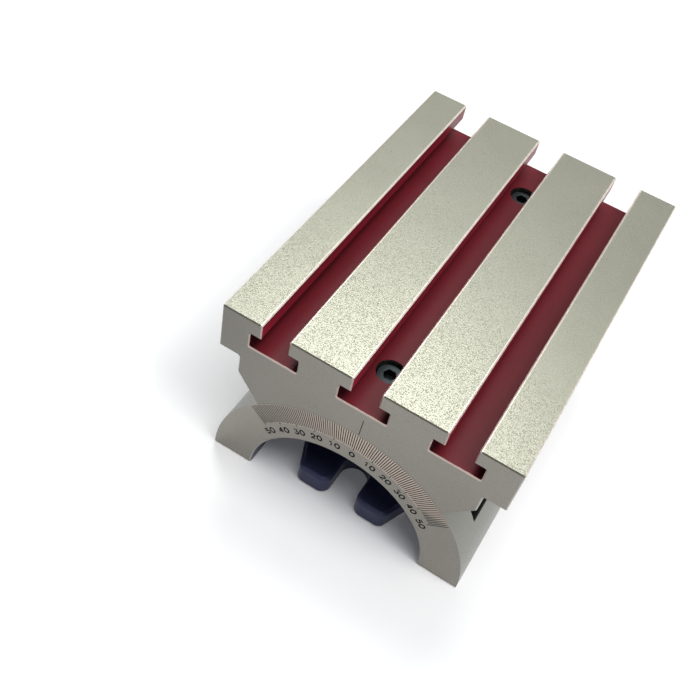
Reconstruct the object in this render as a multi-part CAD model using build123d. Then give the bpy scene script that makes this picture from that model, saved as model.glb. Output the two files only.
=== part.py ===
from build123d import *
import os

# A tilting table: a slotted table on a saddle that swivels on a half-pipe base.
# Millimetres, Z up. The origin is on the floor below the middle of the table, and the
# table tilts about the line through it along Y. X runs across, the scale is on the -Y end.

# Sizes that several pieces share
body_length = 178.0           # both castings, along the tilt axis
tilt_limit = 45.0             # degrees to each side
saddle_clearance = 0.1        # radial running fit of the saddle on the base
clamp_inset = 23.5            # clamp screws, in from each end face
edge_break = 0.5              # bevel on machined edges
overrun = 2.0                 # how far every cut runs past the face that it opens

# Base casting
arch_outer_radius = 61.3      # its centre is the tilt axis, at floor level
arch_wall = 18.8
arc_slot_width = 17.0
arc_slot_half_angle = 63.5    # degrees from the crown to each end of the arc slot

# Fork web, at floor level inside each end of the base
web_top = 10.8
web_relief = 1.0              # the web stays clear of the surface that the feet stand on
web_front_inset = 30.0        # its cross part, in from the end face
web_back_inset = 45.0
web_bite = 6.0                # how far it runs into the legs
web_leg_radius = 4.0          # coves where it meets the legs
web_edge_radius = 2.0
fork_tip_inset = 5.0
fork_prong_width = 14.5       # at its tip
fork_leg_gap = 11.4           # between the root of each prong and the leg beside it
fork_tip_radius = 3.5
fork_root_radius = 5.0
bolt_slot_width = 13.0
bolt_slot_inset = 18.5        # centre of its round end, in from the end face
bolt_slot_mouth_radius = 4.5

# Table casting
table_width = 127.0
slab_thickness = 23.6
slab_overhang = 9.5           # beyond the skirt, on each side
skirt_depth = 9.8
skirt_corner_radius = 1.0
saddle_half_angle = 44.8      # a little under the tilt limit keeps its edge off the floor
crown_thickness = 14.0        # from the top of the saddle to the floor of a T-slot

# T-slots, along the length of the table
tslot_count = 3
tslot_pitch = 39.65
tslot_mouth = 12.0
tslot_neck_depth = 7.7
tslot_head_width = 21.6
tslot_head_depth = 7.5
tslot_corner_radius = 0.6

# Clamp screws and their washers
screw_diameter = 8.0
screw_length = 30.0
screw_tip_bevel = 1.0
screw_head_diameter = 11.4    # passes down through the mouth of a T-slot
screw_head_height = 6.0
screw_head_bevel = 0.6
hex_socket_width = 5.0        # across flats
hex_socket_depth = 3.4
washer_thickness = 1.2
washer_bore_gap = 0.2         # radial, round the screw
seat_web = 4.8                # iron left under the washer, above the saddle
counterbore_gap = 0.3         # radial, round the screw head
screw_hole_gap = 0.5          # radial, round the screw below the washer

# Clamp shoes: a curved T whose neck rides in the arc slot and whose flange grips from inside
shoe_gap = 0.3                # from the base, on the flange and on both sides of the neck
shoe_flange_width = 32.0      # along Y
shoe_flange_thickness = 8.0
shoe_flange_half_angle = 20.0
shoe_neck_height = 11.5       # above the flange, so it stops short of the saddle
shoe_end_margin = 3.5         # degrees left to the end of the arc slot at full tilt
shoe_edge_bevel = 1.0
thread_gap = 0.05             # radial, between the screw and the tapped hole

# Sizes that follow from those above
arch_inner_radius = arch_outer_radius - arch_wall
saddle_radius = arch_outer_radius + saddle_clearance
tslot_floor = saddle_radius + crown_thickness
table_top = tslot_floor + tslot_head_depth + tslot_neck_depth
washer_seat = saddle_radius + seat_web
screw_seat = washer_seat + washer_thickness
clamp_station = body_length / 2 - clamp_inset
stations = {"front": -clamp_station, "rear": clamp_station}


def ring_sector(inner_radius, outer_radius, half_angle):
    """Flat piece of a ring about the tilt axis, centred on the crown."""
    first_angle = 90 - half_angle
    outer = CenterArc((0, 0), outer_radius, first_angle, 2 * half_angle)
    inner = CenterArc((0, 0), inner_radius, first_angle, 2 * half_angle)
    right = Line(inner @ 0, outer @ 0)
    left = Line(inner @ 1, outer @ 1)
    return make_face([outer, left, inner, right])


def along_axis(section, length):
    """Section drawn in X and Z, made solid along Y to both sides of its middle."""
    return extrude(Plane.XZ * section, length / 2, both=True)


def upright_cylinder(radius, bottom, top, station):
    seat = Pos(0, station, bottom)
    return seat * Cylinder(radius, top - bottom, align=(Align.CENTER, Align.CENTER, Align.MIN))


def end_edges(solid, skipped_radius):
    """Edges of both end faces, but for arcs of the one radius that stays sharp."""
    half_length = body_length / 2
    edges = ShapeList()
    for end in (-half_length, half_length):
        edges += solid.edges().filter_by_position(Axis.Y, end, end)
    return edges.filter_by(
        lambda edge: edge.geom_type != GeomType.CIRCLE or abs(edge.radius - skipped_radius) > edge_break
    )


# Base: half pipe with feet, two fork webs and two arc slots

def fork_outline():
    """Plan of the front web: cross part, two prongs and the coves at the legs."""
    end = -body_length / 2
    tip = end + fork_tip_inset
    cross_front = end + web_front_inset
    cross_back = end + web_back_inset
    wall = arch_inner_radius
    buried = wall + web_bite
    front_reach = cross_front - web_leg_radius - web_bite
    back_reach = cross_back + web_leg_radius + web_bite
    right = [
        (bolt_slot_width / 2 + fork_prong_width, tip),
        (wall - fork_leg_gap, cross_front),
        (wall, cross_front),
        (wall, front_reach),
        (buried, front_reach),
        (buried, back_reach),
        (wall, back_reach),
        (wall, cross_back),
    ]
    left = [(-x, y) for x, y in reversed(right)]
    plan = make_face(Polyline(*right, *left, close=True))
    tips = [right[0], left[-1]]
    roots = [right[1], left[-2]]
    coves = [right[2], right[-1], left[0], left[-3]]
    for corners, radius in ((tips, fork_tip_radius), (roots, fork_root_radius), (coves, web_leg_radius)):
        plan = fillet(nearest_vertices(plan, corners), radius)
    return plan


def nearest_vertices(face, places):
    return [face.vertices().sort_by_distance(Vector(*place))[0] for place in places]


def bolt_slot():
    """Plan of the open slot for a hold-down bolt, with its mouth rounded outwards."""
    end = -body_length / 2
    tip = end + fork_tip_inset
    centre = end + bolt_slot_inset
    half_width = bolt_slot_width / 2
    straight = Pos(0, centre) * Rectangle(
        bolt_slot_width, bolt_slot_inset, align=(Align.CENTER, Align.MAX)
    )
    flare = Pos(0, tip) * Rectangle(
        bolt_slot_width + 2 * bolt_slot_mouth_radius,
        2 * bolt_slot_mouth_radius,
    )
    slot = straight + Pos(0, centre) * Circle(half_width) + flare
    for side in (-1, 1):
        round_centre = Pos(side * (half_width + bolt_slot_mouth_radius), tip + bolt_slot_mouth_radius)
        slot -= round_centre * Circle(bolt_slot_mouth_radius)
    return slot


def fork_web():
    web = extrude(Pos(0, 0, web_relief) * (fork_outline() - bolt_slot()), web_top - web_relief)
    top_rim = web.edges().filter_by_position(Axis.Z, web_top, web_top)
    return fillet(top_rim, web_edge_radius)


def arch_base():
    base = along_axis(ring_sector(arch_inner_radius, arch_outer_radius, 90), body_length)
    base = chamfer(end_edges(base, arch_outer_radius), edge_break)
    web = fork_web()
    base += web + mirror(web, about=Plane.XZ)
    slot_section = ring_sector(
        arch_inner_radius - overrun, arch_outer_radius + overrun, arc_slot_half_angle
    )
    for station in stations.values():
        base -= Pos(0, station, 0) * along_axis(slot_section, arc_slot_width)
    return base


# Table: slab with T-slots, skirt and saddle in one casting

def table_section():
    half_width = table_width / 2
    skirt = half_width - slab_overhang
    slab_bottom = table_top - slab_thickness
    skirt_bottom = slab_bottom - skirt_depth
    saddle = CenterArc((0, 0), saddle_radius, 90 - saddle_half_angle, 2 * saddle_half_angle)
    right = [(skirt, skirt_bottom), (skirt, slab_bottom), (half_width, slab_bottom), (half_width, table_top)]
    left = [(-x, z) for x, z in reversed(right)]
    outline = Polyline(saddle @ 0, *right, *left, saddle @ 1)
    section = make_face([*outline.edges(), *saddle.edges()])
    corners = nearest_vertices(section, [right[0], right[1], left[-1], left[-2]])
    return fillet(corners, skirt_corner_radius)


def tslot_section():
    head = Pos(0, tslot_floor) * Rectangle(
        tslot_head_width, tslot_head_depth, align=(Align.CENTER, Align.MIN)
    )
    head = fillet(head.vertices(), tslot_corner_radius)
    neck = Pos(0, tslot_floor) * Rectangle(
        tslot_mouth, table_top + overrun - tslot_floor, align=(Align.CENTER, Align.MIN)
    )
    return head + neck


def swivel_table():
    table = along_axis(table_section(), body_length)
    for number in range(tslot_count):
        offset = (number - (tslot_count - 1) / 2) * tslot_pitch
        table -= Pos(offset, 0, 0) * along_axis(tslot_section(), body_length + 2 * overrun)
    machined = table.edges().filter_by_position(Axis.Z, table_top, table_top)
    machined += end_edges(table, saddle_radius)
    table = chamfer(list(set(machined)), edge_break)
    for station in stations.values():
        bore_radius = screw_head_diameter / 2 + counterbore_gap
        hole_radius = screw_diameter / 2 + screw_hole_gap
        table -= upright_cylinder(bore_radius, washer_seat, tslot_floor + overrun, station)
        table -= upright_cylinder(hole_radius, saddle_radius - overrun, washer_seat + overrun, station)
    return table


# Clamps: a screw down through the table, its washer, and the shoe below

def clamp_screw(station):
    head_top = screw_seat + screw_head_height
    head = upright_cylinder(screw_head_diameter / 2, screw_seat, head_top, station)
    head = chamfer(head.edges().sort_by(Axis.Z)[-1], screw_head_bevel)
    shank = upright_cylinder(screw_diameter / 2, screw_seat - screw_length, screw_seat, station)
    shank = chamfer(shank.edges().sort_by(Axis.Z)[0], screw_tip_bevel)
    hexagon = RegularPolygon(hex_socket_width / 2, 6, major_radius=False)
    socket = extrude(Pos(0, station, head_top - hex_socket_depth) * hexagon, hex_socket_depth + overrun)
    return head + shank - socket


def washer(station):
    ring = upright_cylinder(screw_head_diameter / 2, washer_seat, screw_seat, station)
    bore_radius = screw_diameter / 2 + washer_bore_gap
    return ring - upright_cylinder(bore_radius, washer_seat - overrun, screw_seat + overrun, station)


def clamp_shoe(station):
    flange_outer = arch_inner_radius - shoe_gap
    flange_inner = flange_outer - shoe_flange_thickness
    flange = along_axis(
        ring_sector(flange_inner, flange_outer, shoe_flange_half_angle), shoe_flange_width
    )
    flange = chamfer(flange.edges(), shoe_edge_bevel)
    neck_half_angle = arc_slot_half_angle - tilt_limit - shoe_end_margin
    neck_middle = flange_outer - shoe_flange_thickness / 2
    neck = along_axis(
        ring_sector(neck_middle, flange_outer + shoe_neck_height, neck_half_angle),
        arc_slot_width - 2 * shoe_gap,
    )
    shoe = Pos(0, station, 0) * (flange + neck)
    hole_radius = screw_diameter / 2 + thread_gap
    return shoe - upright_cylinder(hole_radius, 0, arch_outer_radius, station)


def build_parts():
    parts = {"arch_base": arch_base(), "swivel_table": swivel_table()}
    for end, station in stations.items():
        parts[end + "_washer"] = washer(station)
        parts[end + "_clamp_screw"] = clamp_screw(station)
        parts[end + "_clamp_shoe"] = clamp_shoe(station)
    return parts


os.makedirs("parts", exist_ok=True)
for name, shape in build_parts().items():
    export_step(shape, f"parts/{name}.step")
    print(name, "volume", round(shape.volume), "mm3")
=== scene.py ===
import bpy
import bmesh
from math import atan2, cos, pi, radians
from mathutils import Matrix, Vector


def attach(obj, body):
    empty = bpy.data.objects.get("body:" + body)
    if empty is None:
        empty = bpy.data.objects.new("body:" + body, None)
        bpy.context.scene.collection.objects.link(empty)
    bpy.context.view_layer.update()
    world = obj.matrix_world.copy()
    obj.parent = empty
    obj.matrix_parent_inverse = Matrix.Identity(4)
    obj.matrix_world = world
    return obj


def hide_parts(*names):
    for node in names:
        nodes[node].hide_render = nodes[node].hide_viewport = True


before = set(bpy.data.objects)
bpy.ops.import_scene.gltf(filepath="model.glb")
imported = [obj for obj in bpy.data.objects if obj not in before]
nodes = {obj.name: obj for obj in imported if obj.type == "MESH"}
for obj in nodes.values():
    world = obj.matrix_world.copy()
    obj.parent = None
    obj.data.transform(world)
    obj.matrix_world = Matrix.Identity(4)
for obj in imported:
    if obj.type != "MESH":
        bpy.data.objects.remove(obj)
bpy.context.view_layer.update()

# A slotted tilting table on its half-pipe base, in metres. The floor is z = 0, the table
# tilts about the y axis, and the degree scale is on the end at -y.
mm = 0.001
print("frame loaded:", len(nodes), "nodes")


# small helpers for meshes

def newPiece(name, bm, body, material, smoothAngle=None):
    mesh = bpy.data.meshes.new(name)
    bm.to_mesh(mesh)
    bm.free()
    if smoothAngle is not None:
        mesh.shade_smooth()
        mesh.set_sharp_from_angle(angle=radians(smoothAngle))
    mesh.materials.append(material)
    piece = bpy.data.objects.new(name, mesh)
    bpy.context.scene.collection.objects.link(piece)
    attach(piece, body)
    return piece


def paintNode(name, material):
    mesh = nodes[name].data
    mesh.materials.clear()
    mesh.materials.append(material)


# small helpers for shader nodes: each gives back the output socket of what it adds

def link(tree, value, socket):
    if isinstance(value, bpy.types.NodeSocket):
        tree.links.new(value, socket)
    else:
        socket.default_value = value


def calc(tree, operation, *values, clamp=False):
    node = tree.nodes.new("ShaderNodeMath")
    node.operation = operation
    node.use_clamp = clamp
    for value, socket in zip(values, node.inputs):
        link(tree, value, socket)
    return node.outputs[0]


def times(tree, first, *others):
    for other in others:
        first = calc(tree, "MULTIPLY", first, other)
    return first


def absolute(tree, value):
    return calc(tree, "ABSOLUTE", value)


def shares(tree, first, firstShare, second, secondShare, clamp=False):
    # adds up two values, each times its share
    parts = times(tree, first, firstShare), times(tree, second, secondShare)
    return calc(tree, "ADD", *parts, clamp=clamp)


def fade(tree, factor, first, second):
    # the first value where factor is 0, the second where it is 1
    rest = calc(tree, "SUBTRACT", 1.0, factor)
    return shares(tree, first, rest, second, factor)


def step(tree, value, low, high):
    # 0 at low, 1 at high, and smooth between them; low may be the larger number
    node = tree.nodes.new("ShaderNodeMapRange")
    node.interpolation_type = "SMOOTHSTEP"
    link(tree, value, node.inputs["Value"])
    node.inputs["From Min"].default_value = low
    node.inputs["From Max"].default_value = high
    return node.outputs["Result"]


def between(tree, value, low, high, soft):
    # 1 from low to high, 0 outside
    above = step(tree, value, low - soft, low + soft)
    below = step(tree, value, high + soft, high - soft)
    return times(tree, above, below)


def spread(tree, value, low, high):
    # stretches 0..1 to low..high
    node = tree.nodes.new("ShaderNodeMapRange")
    link(tree, value, node.inputs["Value"])
    node.inputs["To Min"].default_value = low
    node.inputs["To Max"].default_value = high
    return node.outputs["Result"]


def blend(tree, factor, first, second, mode="MIX"):
    node = tree.nodes.new("ShaderNodeMix")
    node.data_type = "RGBA"
    node.blend_type = mode
    link(tree, factor, node.inputs["Factor"])
    for value, socket in ((first, node.inputs[6]), (second, node.inputs[7])):
        link(tree, value if isinstance(value, bpy.types.NodeSocket) else (*value, 1), socket)
    return node.outputs[2]


def noise(tree, place, scale, detail=2.0, rough=0.5, stretch=(1, 1, 1)):
    mapping = tree.nodes.new("ShaderNodeMapping")
    mapping.inputs["Scale"].default_value = stretch
    tree.links.new(place, mapping.inputs["Vector"])
    node = tree.nodes.new("ShaderNodeTexNoise")
    node.inputs["Scale"].default_value = scale
    node.inputs["Detail"].default_value = detail
    node.inputs["Roughness"].default_value = rough
    tree.links.new(mapping.outputs[0], node.inputs["Vector"])
    return node.outputs["Fac"]


def dots(tree, place, scale, small, large):
    # round dots, one to a cell, in sizes from small to large (shares of a cell)
    softness = 0.05
    node = tree.nodes.new("ShaderNodeTexVoronoi")
    node.inputs["Scale"].default_value = scale
    tree.links.new(place, node.inputs["Vector"])
    cellNumber = calc(tree, "FRACT", times(tree, node.outputs["Color"], 7.0))
    size = spread(tree, cellNumber, small, large)
    return step(tree, calc(tree, "SUBTRACT", size, node.outputs["Distance"]), -softness, softness)


def bump(tree, height, depth):
    node = tree.nodes.new("ShaderNodeBump")
    node.inputs["Distance"].default_value = depth
    link(tree, height, node.inputs["Height"])
    return node.outputs["Normal"]


def newMaterial(name, metallic, roughness, specular=0.5):
    material = bpy.data.materials.new(name)
    material.use_nodes = True
    tree = material.node_tree
    shader = tree.nodes["Principled BSDF"]
    shader.inputs["Metallic"].default_value = metallic
    shader.inputs["Roughness"].default_value = roughness
    shader.inputs["Specular IOR Level"].default_value = specular
    return material, tree, shader


def objectPlace(tree):
    # Object coordinates, and the normal in the same frame
    coordinates = tree.nodes.new("ShaderNodeTexCoord")
    return coordinates.outputs["Object"], coordinates.outputs["Normal"]


def splitAxes(tree, vector):
    split = tree.nodes.new("ShaderNodeSeparateXYZ")
    tree.links.new(vector, split.inputs[0])
    return tuple(split.outputs)


def slanted(tree, normalPart):
    # 1 on flats that lie at 45 degrees to the axis of this part of the normal
    least, most, soft = 0.62, 0.80, 0.02
    return between(tree, absolute(tree, normalPart), least, most, soft)


# The ground and milled cast iron that the table and the base share

iron = {
    "light": (0.241, 0.241, 0.213),
    "dark": (0.189, 0.189, 0.167),
    "endLight": (0.272, 0.256, 0.228),   # the milled end faces are a little warmer
    "endDark": (0.200, 0.189, 0.167),
    "endFace": (88.75 * mm, 88.95 * mm),  # they begin within these, along y
    "topTint": (1.0, 1.02, 0.935),
    "grain": 1900.0,                     # speckle of the ground skin, per metre
    "grainContrast": (0.33, 0.62),
    "lay": 900.0,                        # grinding lines along the table
    "layStretch": (1, 0.05, 1),
    "cloud": 34.0,
    "grainShare": 0.62,
    "cloudShare": 0.5,
    "pits": 620.0,                       # little open pits, darker than the skin
    "pitContrast": (0.70, 0.76),         # the higher, the fewer pits
    "pitColour": (0.10, 0.095, 0.085),
    "pitShare": 0.55,
    "specks": 1900.0,                    # cells of dull specks, per metre
    "speckSizes": (0.05, 0.55),
    "speckColour": (0.20, 0.175, 0.130),
    "speckShare": 0.3,
    "speckOffTop": 0.5,                  # how strong they are on the other faces
    "speckOnEnd": 0.5,                   # and again on the ends
    "speckRough": 0.15,                  # they show most in a highlight
    "roughness": (0.26, 0.33),
    "roughShares": (0.6, 0.4),           # of grain and cloud
    "metallic": 0.92,
    "relief": 0.05 * mm,
    "reliefShares": (0.9, 0.1),          # of grain and lay
    "hollow": 0.6,                       # depth of pits and specks, as a share of the relief
    "plainMetallic": 0.9,                # for viewers that don't read the nodes
    "plainRoughness": 0.4,
}


def ironLook(tree, place, onEnd, onTop=0.0):
    grain = noise(tree, place, iron["grain"], detail=3, rough=0.6)
    cloud = noise(tree, place, iron["cloud"], detail=3, rough=0.55)
    lay = noise(tree, place, iron["lay"], detail=2, rough=0.6, stretch=iron["layStretch"])
    sharpGrain = step(tree, grain, *iron["grainContrast"])
    mixer = shares(tree, sharpGrain, iron["grainShare"], cloud, iron["cloudShare"], clamp=True)
    ground = blend(tree, mixer, iron["dark"], iron["light"])
    milled = blend(tree, mixer, iron["endDark"], iron["endLight"])
    colour = blend(tree, onEnd, ground, milled)
    colour = blend(tree, onTop, colour, iron["topTint"], "MULTIPLY")
    pits = step(tree, noise(tree, place, iron["pits"], detail=2), *iron["pitContrast"])
    colour = blend(tree, times(tree, pits, iron["pitShare"]), colour, iron["pitColour"])
    specks = dots(tree, place, iron["specks"], *iron["speckSizes"])
    specks = times(tree, specks, spread(tree, onTop, iron["speckOffTop"], 1.0))
    specks = times(tree, specks, spread(tree, onEnd, 1.0, iron["speckOnEnd"]))
    colour = blend(tree, times(tree, specks, iron["speckShare"]), colour, iron["speckColour"])
    grainPart, cloudPart = iron["roughShares"]
    rough = spread(tree, shares(tree, grain, grainPart, cloud, cloudPart), *iron["roughness"])
    rough = calc(tree, "MULTIPLY_ADD", specks, iron["speckRough"], rough)
    grainPart, layPart = iron["reliefShares"]
    height = shares(tree, grain, grainPart, lay, layPart)
    hollows = times(tree, calc(tree, "MAXIMUM", pits, specks), iron["hollow"])
    return colour, rough, calc(tree, "SUBTRACT", height, hollows)


def endMask(tree, y):
    return step(tree, absolute(tree, y), *iron["endFace"])


def finishIron(tree, shader, colour, rough, bare, height):
    # bare is 1 on metal and 0 on enamel
    tree.links.new(colour, shader.inputs["Base Color"])
    tree.links.new(rough, shader.inputs["Roughness"])
    tree.links.new(times(tree, bare, iron["metallic"]), shader.inputs["Metallic"])
    tree.links.new(bump(tree, height, iron["relief"]), shader.inputs["Normal"])


# Table: ground outside, with red enamel inside the T-slots

table = {
    "specular": 0.08,
    "slotPitch": 39.65 * mm,
    "slotHalf": 10.95 * mm,
    "mouthHalf": 6.0 * mm,
    "topFace": (89.9 * mm, 90.0 * mm),   # the bevels and the top begin within these heights
    # painted highlights and painted shade on the edges
    "wearAndGlint": 700.0,
    "wearAndGlintContrast": (0.35, 0.6),
    "edgeGlintRange": (0.6, 0.95),             # how much of a painted highlight is left on an edge, from place to place
    "rimGlintRange": (0.33, 0.435),
    "slotBevelGlint": (0.80, 0.68, 0.62),     # painted highlight on the bevels along the slots
    "rimWidth": 0.88 * mm,               # painted highlight in a strip beside each slot, bevel included
    "rimFade": 0.06 * mm,
    "topEndShade": (0.100, 0.101, 0.082),     # painted shade on the bevel between top and end
    "contourGlint": (0.50, 0.39, 0.35),       # painted highlight round each slot's end
    "contourWidth": (0.9 * mm, 0.5 * mm),
    "contourFoot": (74.0 * mm, 74.5 * mm),
    "cornerGlint": (0.36, 0.355, 0.315),      # painted highlight on the end's other edges
    "cornerGlintShare": 0.8,
    # painted shade: the end face is a little darker towards the left
    "endShade": (0.02, 0.025, 0.02),
    "endShadeAcross": (-80 * mm, 5 * mm),
    "endShadeShare": 0.38,
    # enamel
    "enamelFrom": 75.3 * mm,             # heights, on the slots' floor and below the bevel
    "enamelTo": 90.12 * mm,
    "enamelEnd": (88.60 * mm, 88.52 * mm),
    "enamelFade": 0.05 * mm,
    "enamelSoft": 0.03 * mm,
    "ragged": 0.25 * mm,                 # how uneven its edge is
    "raggedScale": 420.0,
    "streaks": 160.0,                    # along the slots, per metre
    "streakStretch": (1, 0.12, 1),
    "streakShare": 0.45,
    "patches": 45.0,
    "patchShare": 0.55,
    "ripples": 130.0,                    # relief of the paint
    "red": (0.200, 0.018, 0.026),
    "redDeep": (0.112, 0.014, 0.019),
    "redLitWall": (0.360, 0.021, 0.043),    # painted light: brighter red on the sides of the mouths
    "wallFrom": (83.3 * mm, 84.1 * mm),
    "litWallShare": 0.85,
    "redShade": (0.018, 0.004, 0.006),    # painted shade: darker red in the undercuts and below the rims
    "undercutAcross": (6.4 * mm, 10.15 * mm),
    "undercutBelow": (83.2 * mm, 82.9 * mm),
    "rimShade": (88.6 * mm, 89.6 * mm),
    "slotShadeShare": 0.75,
    "redRoughness": (0.26, 0.37),
}


def slotDistance(tree, x):
    # how far a point lies from the middle of the nearest T-slot, across the table
    side = absolute(tree, x)
    fromOuter = absolute(tree, calc(tree, "SUBTRACT", side, table["slotPitch"]))
    return calc(tree, "MINIMUM", side, fromOuter)


def tableEdges(tree, colour, place, normal, z, fromSlot, atTop):
    _, normalY, normalZ = splitAxes(tree, normal)
    endBevel, topBevel = slanted(tree, normalY), slanted(tree, normalZ)
    # painted highlights and painted shade on the bevels; a noise leaves the highlights patchy
    wearAndGlint = step(tree, noise(tree, place, table["wearAndGlint"], detail=2), *table["wearAndGlintContrast"])
    glintLeft = spread(tree, wearAndGlint, *table["edgeGlintRange"])
    outer, inner = (table["slotHalf"] + width for width in table["contourWidth"])
    nearSlot = times(tree, step(tree, fromSlot, outer, inner), step(tree, z, *table["contourFoot"]))
    # painted highlight on the end face's bevels
    colour = blend(tree, times(tree, endBevel, table["cornerGlintShare"]), colour, table["cornerGlint"])
    # painted highlight round each slot's outline on the end
    colour = blend(tree, times(tree, endBevel, nearSlot, glintLeft), colour, table["contourGlint"])
    # painted shade: the bevel between top and end made dark
    colour = blend(tree, times(tree, endBevel, atTop), colour, table["topEndShade"])
    sideBevel = times(tree, calc(tree, "SUBTRACT", topBevel, endBevel, clamp=True), atTop)
    colour = blend(tree, times(tree, sideBevel, glintLeft), colour, table["slotBevelGlint"])
    # painted highlight in a strip beside each slot's mouth
    rimEdge = table["mouthHalf"] + table["rimWidth"]
    onRim = times(tree, step(tree, fromSlot, rimEdge, rimEdge - table["rimFade"]), atTop)
    rimGlint = spread(tree, wearAndGlint, *table["rimGlintRange"])
    return blend(tree, times(tree, onRim, rimGlint), colour, table["slotBevelGlint"])


def enamelMask(tree, place, y, z, fromSlot):
    # 1 on the enamel inside the slots, which stops at a ragged line near the ends and the top
    ragged = times(tree, noise(tree, place, table["raggedScale"], detail=2), table["ragged"])
    inSlot = step(tree, fromSlot, table["slotHalf"] + table["enamelFade"], table["slotHalf"])
    height = calc(tree, "ADD", z, ragged)
    floor, rim = table["enamelFrom"], table["enamelTo"]
    inDepth = between(tree, height, floor, rim, table["enamelSoft"])
    along = calc(tree, "ADD", absolute(tree, y), ragged)
    return times(tree, inSlot, inDepth, step(tree, along, *table["enamelEnd"]))


def redEnamel(tree, place, z, fromSlot, patches):
    stretch = table["streakStretch"]
    streaks = noise(tree, place, table["streaks"], detail=3, rough=0.6, stretch=stretch)
    mixer = shares(tree, streaks, table["streakShare"], patches, table["patchShare"])
    red = blend(tree, mixer, table["redDeep"], table["red"])
    # painted light: the mouths' side walls made brighter red
    onWall = step(tree, z, *table["wallFrom"])
    red = blend(tree, times(tree, onWall, table["litWallShare"]), red, table["redLitWall"])
    # painted shade: darker red in the undercuts and in a line below the rims
    undercut = step(tree, fromSlot, *table["undercutAcross"])
    undercut = times(tree, undercut, step(tree, z, *table["undercutBelow"]))
    slotShade = calc(tree, "MAXIMUM", undercut, step(tree, z, *table["rimShade"]))
    return blend(tree, times(tree, slotShade, table["slotShadeShare"]), red, table["redShade"])


def tableMaterial():
    material, tree, shader = newMaterial(
        "tableIron", iron["plainMetallic"], iron["plainRoughness"], table["specular"])
    place, normal = objectPlace(tree)
    x, y, z = splitAxes(tree, place)
    atTop = step(tree, z, *table["topFace"])
    onEnd = endMask(tree, y)
    colour, rough, height = ironLook(tree, place, onEnd, atTop)
    # painted shade: the end face darkens towards the left
    endShade = spread(tree, step(tree, x, *table["endShadeAcross"]), table["endShadeShare"], 0.0)
    colour = blend(tree, times(tree, onEnd, endShade), colour, table["endShade"])
    fromSlot = slotDistance(tree, x)
    colour = tableEdges(tree, colour, place, normal, z, fromSlot, atTop)
    enamel = enamelMask(tree, place, y, z, fromSlot)
    patches = noise(tree, place, table["patches"], detail=3, rough=0.6)
    colour = blend(tree, enamel, colour, redEnamel(tree, place, z, fromSlot, patches))
    rough = fade(tree, enamel, rough, spread(tree, patches, *table["redRoughness"]))
    ripples = noise(tree, place, table["ripples"], detail=2, rough=0.4)
    height = fade(tree, enamel, height, ripples)
    finishIron(tree, shader, colour, rough, calc(tree, "SUBTRACT", 1.0, enamel), height)
    return material


# Base: machined outside, dark blue enamel inside, painted near-black shade in the arc slots

base = {
    "specular": 0.16,
    "outerRadius": 61.3 * mm,
    "innerRadius": 42.5 * mm,
    # painted highlight on the bevels of the ends
    "edge": (0.56, 0.54, 0.50),
    "edgeGlintShare": 0.5,
    # a faint brown band lies behind the marks of the scale, weaker on the left
    "bandTint": (0.455, 0.388, 0.328),
    "bandInner": 51.0 * mm,
    "bandMargin": 0.5 * mm,              # left plain at the outer edge
    "bandSoft": 0.3 * mm,
    "bandFoot": (36.0 * mm, 40.0 * mm),
    "bandFace": (-88.8 * mm, -88.95 * mm),
    "bandAcross": (-45 * mm, 0.0),
    "bandShare": (0.15, 0.95),
    # enamel inside, with a ragged edge at both ends
    "navy": (0.024, 0.028, 0.064),
    "navyLight": (0.046, 0.052, 0.118),
    "enamelDepth": (0.5 * mm, 0.38 * mm),
    "enamelEnd": (88.6 * mm, 88.5 * mm),
    "ragged": 0.3 * mm,
    "raggedScale": 300.0,
    "cloud": 50.0,
    "enamelRoughness": (0.22, 0.38),
    "lumps": (210.0, 3.0),               # scale and share in the relief of the cast skin
    "skinGrain": (900.0, 0.5),
    # walls of the arc slots, near-black as painted shade, darker than the enamel
    "slotBlack": (0.012, 0.012, 0.014),
    "slotBlackRough": 0.35,                   # added to the enamel's
    "slotStation": 65.5 * mm,
    "slotHalf": 8.8 * mm,
    "slotSoft": 0.05 * mm,
    "slotOuter": (0.5 * mm, 0.7 * mm),   # in from the outer radius
    "slotInner": (0.3 * mm, 0.5 * mm),   # out from the inner radius
}


def scaleBand(tree, x, y, z, radius):
    outer = base["outerRadius"] - base["bandMargin"]
    band = between(tree, radius, base["bandInner"], outer, base["bandSoft"])
    band = times(tree, band, step(tree, z, *base["bandFoot"]), step(tree, y, *base["bandFace"]))
    return times(tree, band, spread(tree, step(tree, x, *base["bandAcross"]), *base["bandShare"]))


def arcSlotMask(tree, away, radius):
    first, last = (base["slotStation"] + side * base["slotHalf"] for side in (-1, 1))
    inArc = between(tree, away, first, last, base["slotSoft"])
    nearOuter = [base["outerRadius"] - inset for inset in base["slotOuter"]]
    nearInner = [base["innerRadius"] + inset for inset in base["slotInner"]]
    return times(tree, inArc, step(tree, radius, *nearOuter), step(tree, radius, *nearInner))


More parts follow.
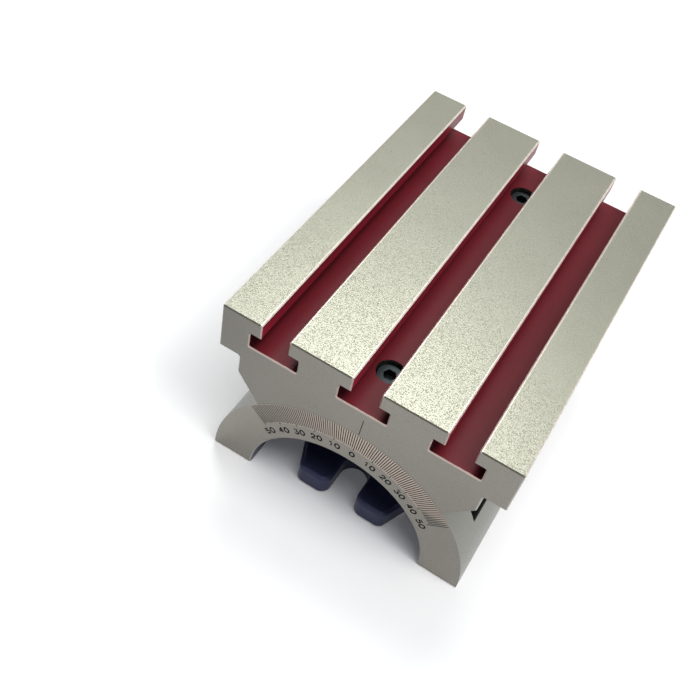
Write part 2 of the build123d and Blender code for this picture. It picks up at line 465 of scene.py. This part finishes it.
def baseMaterial():
    material, tree, shader = newMaterial(
        "baseIron", iron["plainMetallic"], iron["plainRoughness"], base["specular"])
    place, normal = objectPlace(tree)
    x, y, z = splitAxes(tree, place)
    radius = calc(tree, "SQRT", calc(tree, "ADD", times(tree, x, x), times(tree, z, z)))
    away = absolute(tree, y)
    colour, rough, height = ironLook(tree, place, endMask(tree, y))
    endBevel = slanted(tree, splitAxes(tree, normal)[1])
    # painted highlight on the end bevels
    colour = blend(tree, times(tree, endBevel, base["edgeGlintShare"]), colour, base["edge"])
    colour = blend(tree, scaleBand(tree, x, y, z, radius), colour, base["bandTint"])
    ragged = times(tree, noise(tree, place, base["raggedScale"], detail=2), base["ragged"])
    enamelDepth = [base["innerRadius"] + depth for depth in base["enamelDepth"]]
    inside = step(tree, calc(tree, "ADD", radius, ragged), *enamelDepth)
    inside = times(tree, inside, step(tree, calc(tree, "ADD", away, ragged), *base["enamelEnd"]))
    inArc = arcSlotMask(tree, away, radius)
    cloud = noise(tree, place, base["cloud"], detail=3, rough=0.6)
    colour = blend(tree, inside, colour, blend(tree, cloud, base["navy"], base["navyLight"]))
    # painted shade: the arc slots' walls made near-black
    colour = blend(tree, inArc, colour, base["slotBlack"])
    coated = calc(tree, "MAXIMUM", inside, inArc)
    coatRough = spread(tree, cloud, *base["enamelRoughness"])
    coatRough = calc(tree, "ADD", coatRough, times(tree, inArc, base["slotBlackRough"]))
    rough = fade(tree, coated, rough, coatRough)
    (lumpScale, lumpShare), (grainScale, grainShare) = base["lumps"], base["skinGrain"]
    lumps = noise(tree, place, lumpScale, detail=3, rough=0.55)
    grain = noise(tree, place, grainScale, detail=2)
    height = fade(tree, coated, height, shares(tree, lumps, lumpShare, grain, grainShare))
    finishIron(tree, shader, colour, rough, calc(tree, "SUBTRACT", 1.0, coated), height)
    return material


# Marks: the degree scale and its numbers on the base, and the zero line on the table

scale = {
    "limit": 50,                         # degrees to each side
    "turned": 1.7,                       # the whole scale sits this many degrees off the crown
    "outer": 60.75 * mm,
    "inner": 51.5 * mm,
    "innerFive": 51.2 * mm,
    "innerTen": 50.4 * mm,
    "tickWidth": 0.38 * mm,
    "proud": 0.02 * mm,
    "face": -89.0 * mm,
    "numberRadius": 47.3 * mm,
    "numberHeight": 2.6 * mm,
    "numberWidth": 2.05 * mm,
    "numberGap": 0.95 * mm,
    "numberSmooth": 60,                  # degrees between faces that still look round
    "stroke": 0.38 * mm,                 # half the width of a number's strokes
    "lineBottom": 61.75 * mm,            # the zero line
    "lineTop": 71.2 * mm,
    "lineWidth": 0.36 * mm,
    "brown": ((0.012, 0.008, 0.007), (0.045, 0.030, 0.025)),
    "black": ((0.003, 0.003, 0.003), (0.010, 0.009, 0.009)),
    "wearAndGlint": 900.0,
    "wearAndGlintContrast": (0.42, 0.70),
    "roughness": (0.45, 0.8),
    "specular": 0.1,
}

# strokes of each digit in a 1 by 1 cell, closed or open; a third value marks a sharp corner
digitStrokes = {
    "0": [(True, [(0.5, 1), (1, 0.5), (0.5, 0), (0, 0.5)])],
    "1": [(False, [(0.22, 0.74, 1), (0.62, 1, 1), (0.62, 0, 1)])],
    "2": [(False, [(0.04, 0.74), (0.48, 1), (0.94, 0.72), (0.62, 0.36), (0, 0, 1), (1, 0, 1)])],
    "3": [(False, [(0.06, 1, 1), (0.92, 1, 1), (0.46, 0.6, 1), (0.98, 0.3), (0.5, 0), (0, 0.18)])],
    "4": [
        (False, [(0.74, 0, 1), (0.74, 1.04, 1)]),
        (False, [(0.72, 1, 1), (0.02, 0.3, 1)]),
        (False, [(-0.04, 0.3, 1), (1, 0.3, 1)]),
    ],
    "5": [(False, [(0.9, 1, 1), (0.16, 1, 1), (0.08, 0.54, 1), (0.54, 0.64), (1, 0.32), (0.5, 0),
                   (0, 0.16)])],
}


def onScale(degrees, distance):
    # turns and lifts something drawn upright at the origin to its place on the end face
    turn = radians(degrees + scale["turned"])
    return Matrix.Rotation(turn, 4, "Y") @ Matrix.Translation((0, scale["face"], distance))


def markMaterial(name, dark, light):
    material, tree, shader = newMaterial(name, 0.0, 0.6, scale["specular"])
    place, _ = objectPlace(tree)
    wearAndGlint = noise(tree, place, scale["wearAndGlint"], detail=3, rough=0.7)
    colour = blend(tree, step(tree, wearAndGlint, *scale["wearAndGlintContrast"]), dark, light)
    tree.links.new(colour, shader.inputs["Base Color"])
    tree.links.new(spread(tree, wearAndGlint, *scale["roughness"]), shader.inputs["Roughness"])
    return material


def addTick(bm, degrees, low, high, width):
    sizes = Matrix.Diagonal((width, 2 * scale["proud"], high - low, 1))
    bmesh.ops.create_cube(bm, size=1, matrix=onScale(degrees, (low + high) / 2) @ sizes)


def innerEnd(degrees):
    if degrees % 10 == 0:
        return scale["innerTen"]
    return scale["innerFive"] if degrees % 5 == 0 else scale["inner"]


def scaleTicks():
    bm = bmesh.new()
    for degrees in range(-scale["limit"], scale["limit"] + 1):
        addTick(bm, degrees, innerEnd(degrees), scale["outer"], scale["tickWidth"])
    return bm


def zeroLine():
    bm = bmesh.new()
    addTick(bm, 0, scale["lineBottom"], scale["lineTop"], scale["lineWidth"])
    return bm


def drawDigit(curve, digit, left):
    for closed, points in digitStrokes[digit]:
        spline = curve.splines.new("BEZIER")
        spline.bezier_points.add(len(points) - 1)
        spline.use_cyclic_u = closed
        spline.resolution_u = 6
        for point, knot in zip(points, spline.bezier_points):
            across = left + point[0] * scale["numberWidth"]
            knot.co = (across, (point[1] - 0.5) * scale["numberHeight"], 0)
            kind = "VECTOR" if len(point) == 3 else "AUTO"
            knot.handle_left_type = knot.handle_right_type = kind


def numberMesh(text):
    curve = bpy.data.curves.new("number", "CURVE")
    curve.dimensions = "3D"
    curve.bevel_depth = scale["stroke"]
    curve.bevel_resolution = 2
    curve.use_fill_caps = True
    advance = scale["numberWidth"] + scale["numberGap"]
    start = -(len(text) * advance - scale["numberGap"]) / 2
    for index, digit in enumerate(text):
        drawDigit(curve, digit, start + index * advance)
    holder = bpy.data.objects.new("number", curve)
    bpy.context.scene.collection.objects.link(holder)
    bpy.context.view_layer.update()
    mesh = bpy.data.meshes.new_from_object(holder)
    bpy.data.objects.remove(holder)
    # lay the drawing on the end face and press the round strokes nearly flat
    press = Matrix.Diagonal((1, 1, scale["proud"] / scale["stroke"], 1))
    mesh.transform(Matrix.Rotation(pi / 2, 4, "X") @ press)
    return mesh


def scaleNumbers():
    bm = bmesh.new()
    for degrees in range(-scale["limit"], scale["limit"] + 1, 10):
        mesh = numberMesh(str(abs(degrees)))
        mesh.transform(onScale(degrees, scale["numberRadius"]))
        bm.from_mesh(mesh)
        bpy.data.meshes.remove(mesh)
    return bm


# Clamp screws: socket head with a knurled rim, and a rolled thread

screw = {
    "station": 65.5 * mm,
    "seat": 67.4 * mm,
    "headRadius": 5.7 * mm,
    "headHeight": 6.0 * mm,
    "headBevel": 0.6 * mm,
    "footBevel": 0.3 * mm,
    "shoulder": (0.2 * mm, 0.12 * mm),   # height and depth of the round above the knurls
    "knurls": 36,
    "knurlDepth": 0.16 * mm,
    "socketAcross": 5.0 * mm,
    "socketDepth": 3.4 * mm,
    "length": 30.0 * mm,
    "threadLength": 24.0 * mm,
    "threadPitch": 1.25 * mm,
    "threadFoot": 0.42,                  # half the ridge's width at its root, in pitches
    "threadTip": 0.18,                   # its width at the crest, as a share of that at the root
    "threadSunk": 0.05 * mm,             # the ridge starts this far inside the core
    "threadEnd": 0.8 * mm,               # left plain below the neck
    "threadSteps": 40,
    "crest": 3.97 * mm,
    "root": 3.30 * mm,
    "neckTaper": 0.5 * mm,
    "tipBevel": 1.0 * mm,
    "tipShare": 0.7,                     # how far the tip narrows, for each mm of its bevel
    "smoothAngle": 35,
}


def ringAt(bm, radius, height, count, turned=0.0):
    place = Matrix.Translation((0, 0, height)) @ Matrix.Rotation(turned, 4, "Z")
    made = bmesh.ops.create_circle(bm, segments=count, radius=radius, matrix=place)
    return made["verts"]


def edgesOf(verts):
    # each edge once, and in the same order every time, so the mesh is the same on each run
    inside = set(verts)
    found = (edge for vert in verts for edge in vert.link_edges if edge.other_vert(vert) in inside)
    return list(dict.fromkeys(found))


def stackRings(bm, rings):
    for lower, upper in zip(rings, rings[1:]):
        bmesh.ops.bridge_loops(bm, edges=edgesOf(lower) + edgesOf(upper))


def hexagonAt(bm, height, count):
    # a ring of points along the six sides of the socket
    side = pi / 3
    ring = ringAt(bm, 1.0, height, count, side / 2)
    for vert in ring:
        angle = atan2(vert.co.y, vert.co.x) % side
        vert.co.xy *= screw["socketAcross"] / 2 / cos(angle - side / 2)
    return ring


def screwHead(bm):
    count = screw["knurls"] * 4
    radius, height, edge = screw["headRadius"], screw["headHeight"], screw["headBevel"]
    foot = screw["footBevel"]
    shoulderHeight, shoulderDepth = screw["shoulder"]
    outline = [
        (0.0, radius - foot),
        (foot, radius),
        (height - edge - shoulderHeight, radius),
        (height - edge, radius - shoulderDepth),
        (height, radius - edge),
    ]
    rings = [ringAt(bm, size, level, count) for level, size in outline]
    # two points of every four go inwards, for the knurls
    for ring in rings[1:3]:
        for index, vert in enumerate(ring):
            if index % 4 in (1, 2):
                vert.co.xy *= 1 - screw["knurlDepth"] / radius
    mouth = hexagonAt(bm, height, count)
    floor = hexagonAt(bm, height - screw["socketDepth"], count)
    stackRings(bm, [*rings, mouth, floor])
    bm.faces.new(floor)
    return rings[0]


def screwShank(bm, under):
    # neck below the head, then the thread's core with a tip
    depth, core, crest, tip = screw["length"], screw["root"], screw["crest"], screw["tipBevel"]
    neck = depth - screw["threadLength"]
    outline = [
        (0.0, crest),
        (-neck, crest),
        (-neck - screw["neckTaper"], core),
        (-depth + tip, core),
        (-depth, core - tip * screw["tipShare"]),
    ]
    rings = [ringAt(bm, size, level, len(under)) for level, size in outline]
    bmesh.ops.bridge_loops(bm, edges=edgesOf(under) + edgesOf(rings[0]))
    stackRings(bm, rings)
    bm.faces.new(rings[-1])


def screwThread(bm):
    # one closed ridge, wound round the core from the tip up
    pitch, steps = screw["threadPitch"], screw["threadSteps"]
    start = screw["tipBevel"] - screw["length"]
    half = pitch * screw["threadFoot"]
    top = half * screw["threadTip"]
    root, crest = screw["root"] - screw["threadSunk"], screw["crest"]
    ridge = [(root, -half), (crest, -top), (crest, top), (root, half)]
    turns = int((screw["threadLength"] - screw["tipBevel"] - screw["threadEnd"]) / pitch)
    sections = []
    for index in range(steps * turns + 1):
        turn = Matrix.Rotation(2 * pi * index / steps, 4, "Z")
        climb = start + pitch * index / steps
        points = [Vector((size, 0, climb + level)) for size, level in ridge]
        sections.append([bm.verts.new(turn @ point) for point in points])
    for lower, upper in zip(sections, sections[1:]):
        for first, second in ((0, 1), (1, 2), (2, 3), (3, 0)):
            bm.faces.new((lower[first], lower[second], upper[second], upper[first]))
    bm.faces.new(sections[0])
    bm.faces.new(sections[-1])


def clampScrew(end, station, material):
    bm = bmesh.new()
    screwShank(bm, screwHead(bm))
    screwThread(bm)
    bmesh.ops.recalc_face_normals(bm, faces=bm.faces)
    bmesh.ops.translate(bm, verts=bm.verts, vec=(0, station, screw["seat"]))
    piece = newPiece(
        end + "ClampScrew", bm, end + "_screw", material, screw["smoothAngle"])
    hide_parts(end + "_clamp_screw")


# Steel of the small parts

steelGrain = {"grain": 1600.0, "grainShare": 0.55, "cloud": 220.0, "cloudShare": 0.45}

steels = {
    "washerSteel": {
        "light": (0.42, 0.43, 0.44),
        "dark": (0.24, 0.245, 0.25),
        "roughness": (0.28, 0.45),
        "relief": 0.02 * mm,
    },
    "blackSteel": {
        "light": (0.042, 0.050, 0.052),
        "dark": (0.016, 0.020, 0.022),
        "roughness": (0.34, 0.52),
        "relief": 0.02 * mm,
    },
    "shoeIron": {
        "light": (0.16, 0.16, 0.155),
        "dark": (0.07, 0.07, 0.068),
        "roughness": (0.45, 0.70),
        "relief": 0.06 * mm,
    },
}


def steelMaterial(name):
    values = steels[name]
    material, tree, shader = newMaterial(name, 1.0, 0.4)
    place, _ = objectPlace(tree)
    grain = noise(tree, place, steelGrain["grain"], detail=3, rough=0.65)
    cloud = noise(tree, place, steelGrain["cloud"], detail=3, rough=0.6)
    mixer = shares(tree, grain, steelGrain["grainShare"], cloud, steelGrain["cloudShare"])
    tree.links.new(blend(tree, mixer, values["dark"], values["light"]), shader.inputs["Base Color"])
    tree.links.new(spread(tree, mixer, *values["roughness"]), shader.inputs["Roughness"])
    tree.links.new(bump(tree, grain, values["relief"]), shader.inputs["Normal"])
    return material


# Lights, floor and camera

studio = {
    "top": {"from": (0.28, -0.12, 1.25), "spread": 40.0, "strength": 1.47},
    # the key is mirrored just beyond the front edge of the top
    "key": {"from": (-0.165, 0.485, 0.858), "spread": 25.0, "strength": 1.12},
    "side": {"from": (0.80, -0.06, 1.20), "spread": 28.0, "strength": 1.02},
    "skyStrength": 0.15,
    "skyTint": (0.84, 0.91, 1.0),        # shadows are a little blue
    "floorHalf": 3.0,
    "floorDrop": 0.05 * mm,              # keeps it clear of the feet
    "floorTone": 0.98,
    "floorRoughness": 0.85,
    "floorSpecular": 0.2,
    "floorGlow": 0.05,
}

camera = {
    "place": (0.0603, -0.2906, 0.3580),
    "turn": (39.304, -8.772, 30.849),
    "lens": 49.09,
    "sensor": 36,
    "nearest": 0.01,
}


def addSun(name):
    values = studio[name]
    lamp = bpy.data.lights.new(name + "Light", "SUN")
    lamp.angle = radians(values["spread"])
    lamp.energy = values["strength"]
    holder = bpy.data.objects.new(name + "Light", lamp)
    bpy.context.scene.collection.objects.link(holder)
    holder.location = values["from"]
    holder.rotation_euler = (-Vector(values["from"])).to_track_quat("-Z", "Y").to_euler()


def seenOrMirrored(tree):
    # 1 for rays from the camera, in a reflection or through glass
    path = tree.nodes.new("ShaderNodeLightPath")
    most = calc(tree, "MAXIMUM", path.outputs["Is Camera Ray"], path.outputs["Is Glossy Ray"])
    return calc(tree, "MAXIMUM", most, path.outputs["Is Transmission Ray"])


def whiteSky():
    world = bpy.data.worlds.new("studio")
    world.use_nodes = True
    bpy.context.scene.world = world
    tree = world.node_tree
    sky = tree.nodes["Background"]
    plain = seenOrMirrored(tree)
    tree.links.new(blend(tree, plain, studio["skyTint"], (1, 1, 1)), sky.inputs["Color"])
    tree.links.new(spread(tree, plain, studio["skyStrength"], 1.0), sky.inputs["Strength"])


def paleFloor():
    bm = bmesh.new()
    bmesh.ops.create_grid(bm, x_segments=1, y_segments=1, size=studio["floorHalf"])
    bmesh.ops.translate(bm, verts=bm.verts, vec=(0, 0, -studio["floorDrop"]))
    mesh = bpy.data.meshes.new("floor")
    bm.to_mesh(mesh)
    bm.free()
    floor = bpy.data.objects.new("floor", mesh)
    bpy.context.scene.collection.objects.link(floor)
    material, tree, shader = newMaterial(
        "paleFloor", 0.0, studio["floorRoughness"], studio["floorSpecular"])
    tone = studio["floorTone"]
    shader.inputs["Base Color"].default_value = (tone, tone, tone, 1)
    shader.inputs["Emission Color"].default_value = (1, 1, 1, 1)
    glow = spread(tree, seenOrMirrored(tree), 0.0, studio["floorGlow"])
    tree.links.new(glow, shader.inputs["Emission Strength"])
    mesh.materials.append(material)


def addCamera():
    view = bpy.data.cameras.new("view")
    view.lens = camera["lens"]
    view.sensor_width = camera["sensor"]
    view.clip_start = camera["nearest"]
    holder = bpy.data.objects.new("view", view)
    bpy.context.scene.collection.objects.link(holder)
    holder.location = camera["place"]
    holder.rotation_euler = [radians(angle) for angle in camera["turn"]]
    bpy.context.scene.camera = holder


addCamera()
whiteSky()
paleFloor()
for lamp in ("top", "key", "side"):
    addSun(lamp)
bpy.context.scene.view_settings.view_transform = "Standard"
print("camera, floor and lights set")

paintNode("swivel_table", tableMaterial())
paintNode("arch_base", baseMaterial())
washerSteel = steelMaterial("washerSteel")
blackSteel = steelMaterial("blackSteel")
shoeIron = steelMaterial("shoeIron")
for end, station in (("front", -screw["station"]), ("rear", screw["station"])):
    paintNode(end + "_washer", washerSteel)
    paintNode(end + "_clamp_shoe", shoeIron)
    clampScrew(end, station, blackSteel)
print("castings painted, clamps made")

brownFilling = markMaterial("brownFilling", *scale["brown"])
blackFilling = markMaterial("blackFilling", *scale["black"])
newPiece("scaleTicks", scaleTicks(), "base", brownFilling)
newPiece(
    "scaleNumbers", scaleNumbers(), "base", blackFilling, scale["numberSmooth"])
newPiece("zeroLine", zeroLine(), "table", brownFilling)
print("scale marked")
